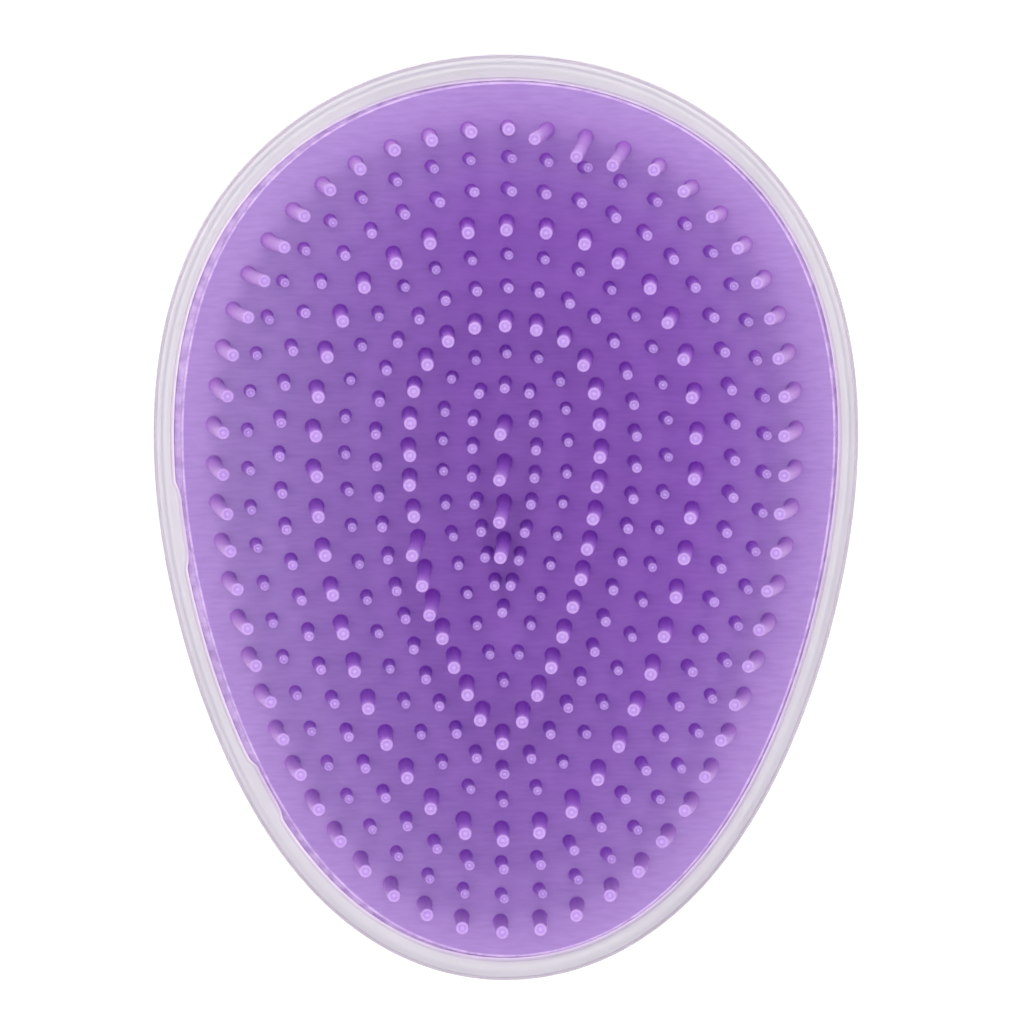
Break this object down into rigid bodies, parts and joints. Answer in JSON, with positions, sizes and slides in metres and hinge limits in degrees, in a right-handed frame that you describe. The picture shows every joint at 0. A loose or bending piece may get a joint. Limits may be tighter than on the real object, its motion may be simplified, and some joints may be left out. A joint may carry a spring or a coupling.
{
  "type": "curry comb",
  "caption": "Palm-held egg-shaped curry comb: a clear domed back shell holding a flexible purple pad of soft moulded pins of mixed lengths.",
  "frame": {"origin": "under the middle of the egg-shaped outline, on the flat crown of the back shell that the part rests on", "axes": "+Z out of the pad along the pins, +Y towards the wide end of the egg, X across the hand; the pad's catches are on the -X side"},
  "size_m": [0.084, 0.1108, 0.0428],
  "materials": {
    "clear_plastic": "clear moulded, polished",
    "violet_plate": "satin moulded",
    "purple_pad": "soft satin moulded elastomer"
  },
  "bodies": {
    "root": {"back_shell": "clear_plastic", "support_plate": "violet_plate", "bristle_pad": "purple_pad"}
  },
  "joints": []
}
